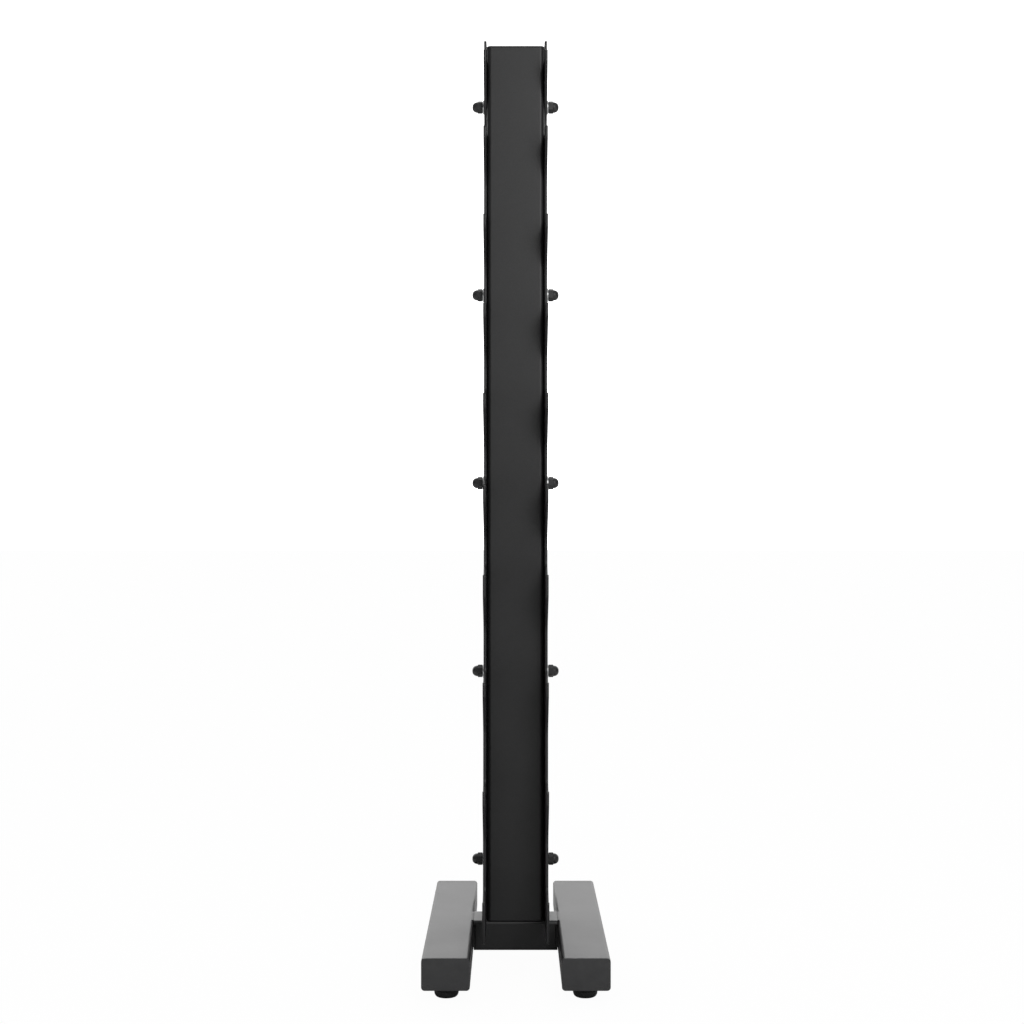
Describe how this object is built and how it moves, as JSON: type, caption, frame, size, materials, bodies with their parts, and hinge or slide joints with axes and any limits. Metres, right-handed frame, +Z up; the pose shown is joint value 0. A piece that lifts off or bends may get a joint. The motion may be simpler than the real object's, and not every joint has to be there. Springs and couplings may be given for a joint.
{
  "type": "dumbbell rack",
  "caption": "Free-standing double-sided vertical dumbbell rack: a square-cornered spine tube on an H base, with saw-tooth hook plates bolted to both of its sides.",
  "frame": {"origin": "on the floor, under the middle of the H base", "axes": "+Z up; -Y the front and +Y the rear, the two sides that the hooks face; +X the right, seen from the front"},
  "size_m": [0.2962, 0.575, 1.576],
  "materials": {
    "black_powder_coat": "satin black powder coat with a fine texture",
    "black_plastic": "moulded black plastic, fine matt grain",
    "black_oxide_steel": "black finished steel dome nuts, semi-gloss",
    "zinc_plated_steel": "bright zinc plate",
    "black_rubber": "matt black rubber"
  },
  "bodies": {
    "rack": {"spine": "black_powder_coat", "spine_top_cap": "black_plastic", "hook_plate_left": "black_powder_coat", "hook_plate_right": "black_powder_coat", "cross_tube": "black_powder_coat", "foot_left": "black_powder_coat", "foot_right": "black_powder_coat", "foot_cap_left_front": "black_plastic", "foot_cap_left_rear": "black_plastic", "foot_cap_right_front": "black_plastic", "foot_cap_right_rear": "black_plastic", "weld_nut_left_front": "zinc_plated_steel", "weld_nut_left_rear": "zinc_plated_steel", "weld_nut_right_front": "zinc_plated_steel", "weld_nut_right_rear": "zinc_plated_steel", "tie_rod_1": "zinc_plated_steel", "crush_sleeve_1": "zinc_plated_steel", "washer_left_1": "zinc_plated_steel", "washer_right_1": "zinc_plated_steel", "dome_nut_left_1": "black_oxide_steel", "dome_nut_right_1": "black_oxide_steel", "tie_rod_2": "zinc_plated_steel", "crush_sleeve_2": "zinc_plated_steel", "washer_left_2": "zinc_plated_steel", "washer_right_2": "zinc_plated_steel", "dome_nut_left_2": "black_oxide_steel", "dome_nut_right_2": "black_oxide_steel", "tie_rod_3": "zinc_plated_steel", "crush_sleeve_3": "zinc_plated_steel", "washer_left_3": "zinc_plated_steel", "washer_right_3": "zinc_plated_steel", "dome_nut_left_3": "black_oxide_steel", "dome_nut_right_3": "black_oxide_steel", "tie_rod_4": "zinc_plated_steel", "crush_sleeve_4": "zinc_plated_steel", "washer_left_4": "zinc_plated_steel", "washer_right_4": "zinc_plated_steel", "dome_nut_left_4": "black_oxide_steel", "dome_nut_right_4": "black_oxide_steel", "tie_rod_5": "zinc_plated_steel", "crush_sleeve_5": "zinc_plated_steel", "washer_left_5": "zinc_plated_steel", "washer_right_5": "zinc_plated_steel", "dome_nut_left_5": "black_oxide_steel", "dome_nut_right_5": "black_oxide_steel"},
    "pad_left_front": {"leveller_pad_left_front": "black_rubber"},
    "stud_left_front": {"leveller_stud_left_front": "zinc_plated_steel"},
    "pad_left_rear": {"leveller_pad_left_rear": "black_rubber"},
    "stud_left_rear": {"leveller_stud_left_rear": "zinc_plated_steel"},
    "pad_right_front": {"leveller_pad_right_front": "black_rubber"},
    "stud_right_front": {"leveller_stud_right_front": "zinc_plated_steel"},
    "pad_right_rear": {"leveller_pad_right_rear": "black_rubber"},
    "stud_right_rear": {"leveller_stud_right_rear": "zinc_plated_steel"}
  },
  "joints": [
    {"name": "level_left_front", "type": "slide", "parent": "rack", "child": "pad_left_front", "axis": [0, 0, -1], "range_m": [0, 0.012]},
    {"name": "turn_left_front", "type": "hinge", "parent": "pad_left_front", "child": "stud_left_front", "pos_m": [-0.11, -0.2425, 0], "axis": [0, 0, -1], "range_deg": [0, 2881]},
    {"name": "level_left_rear", "type": "slide", "parent": "rack", "child": "pad_left_rear", "axis": [0, 0, -1], "range_m": [0, 0.012]},
    {"name": "turn_left_rear", "type": "hinge", "parent": "pad_left_rear", "child": "stud_left_rear", "pos_m": [-0.11, 0.2425, 0], "axis": [0, 0, -1], "range_deg": [0, 2881]},
    {"name": "level_right_front", "type": "slide", "parent": "rack", "child": "pad_right_front", "axis": [0, 0, -1], "range_m": [0, 0.012]},
    {"name": "turn_right_front", "type": "hinge", "parent": "pad_right_front", "child": "stud_right_front", "pos_m": [0.11, -0.2425, 0], "axis": [0, 0, -1], "range_deg": [0, 2881]},
    {"name": "level_right_rear", "type": "slide", "parent": "rack", "child": "pad_right_rear", "axis": [0, 0, -1], "range_m": [0, 0.012]},
    {"name": "turn_right_rear", "type": "hinge", "parent": "pad_right_rear", "child": "stud_right_rear", "pos_m": [0.11, 0.2425, 0], "axis": [0, 0, -1], "range_deg": [0, 2881]}
  ],
  "couplings": [
    {"joint": "turn_left_front", "follows": "level_left_front", "rad_per_m": 4188.8},
    {"joint": "turn_left_rear", "follows": "level_left_rear", "rad_per_m": 4188.8},
    {"joint": "turn_right_front", "follows": "level_right_front", "rad_per_m": 4188.8},
    {"joint": "turn_right_rear", "follows": "level_right_rear", "rad_per_m": 4188.8}
  ]
}
